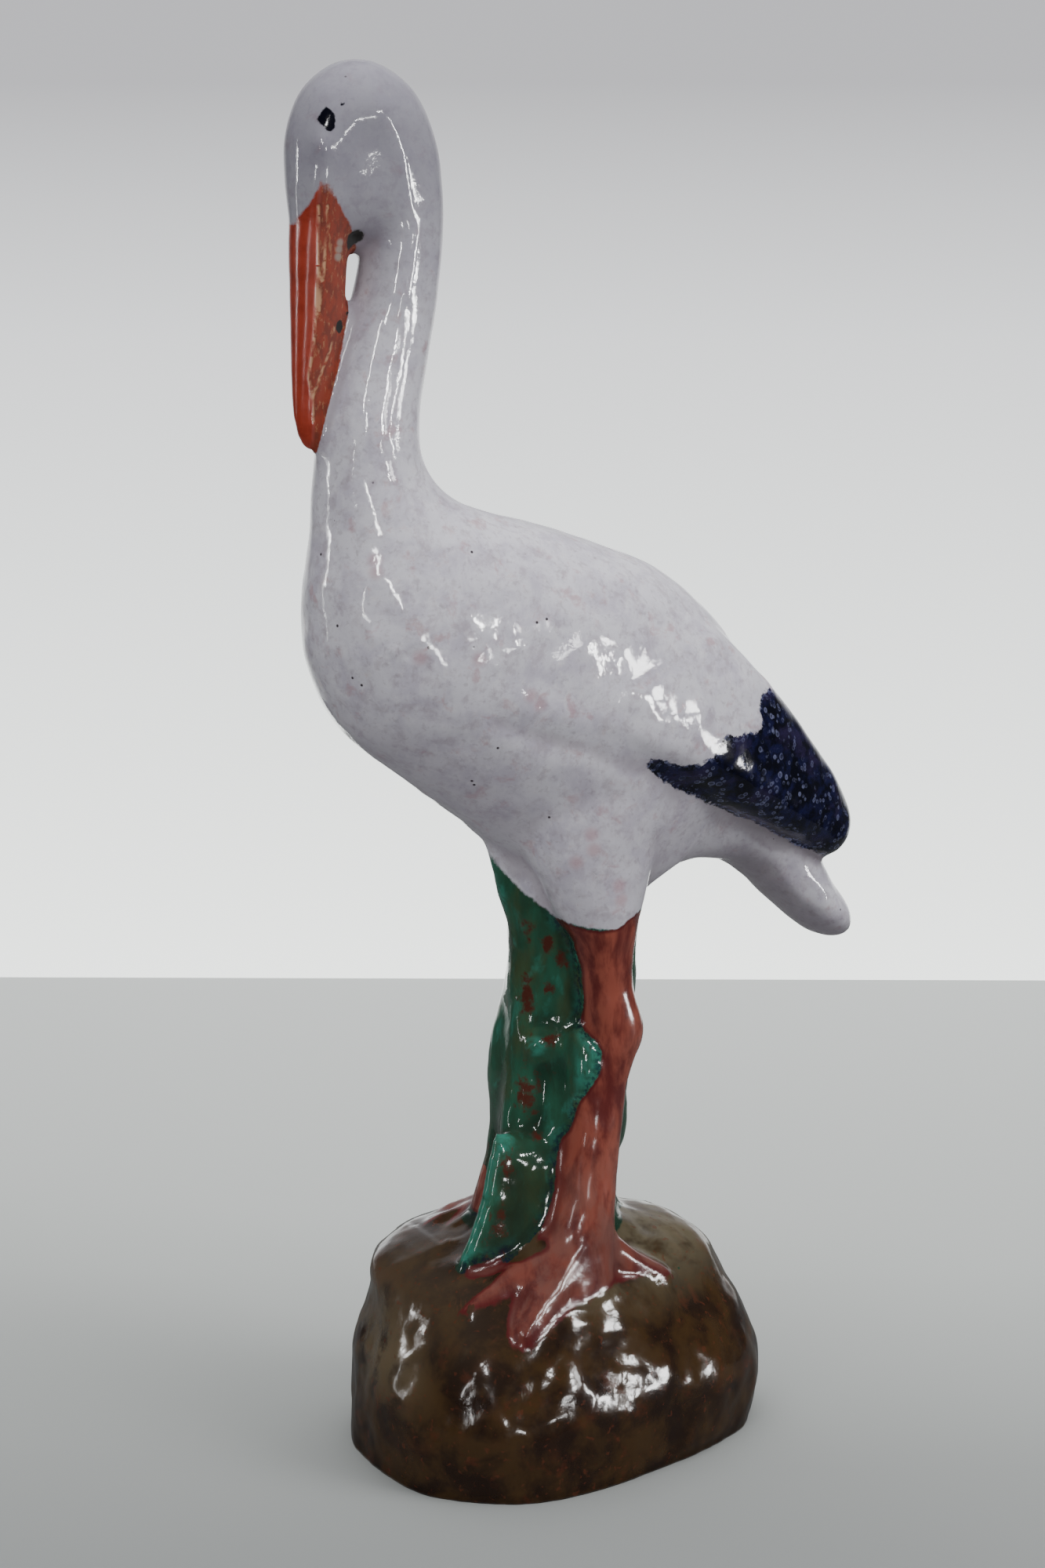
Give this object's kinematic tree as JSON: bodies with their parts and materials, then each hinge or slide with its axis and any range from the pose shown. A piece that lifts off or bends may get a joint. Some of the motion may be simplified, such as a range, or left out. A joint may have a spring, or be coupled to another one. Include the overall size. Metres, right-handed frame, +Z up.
{
  "type": "ceramic stork figurine",
  "caption": "Glazed ceramic stork standing on a rocky mound, its long bill laid down along its curved neck.",
  "frame": {"origin": "middle of the mound's flat underside", "axes": "-X is the way the bird faces, -Y is its left side, +Z is up through the crown"},
  "size_m": [0.1337, 0.0717, 0.3011],
  "materials": {
    "stork_figurine": "glossy white tin glaze, hand-painted with dark blue wing ends, red-brown bill and legs, a green plant and a dark brown mound"
  },
  "bodies": {
    "root": {"stork_figurine": "stork_figurine"}
  },
  "joints": []
}
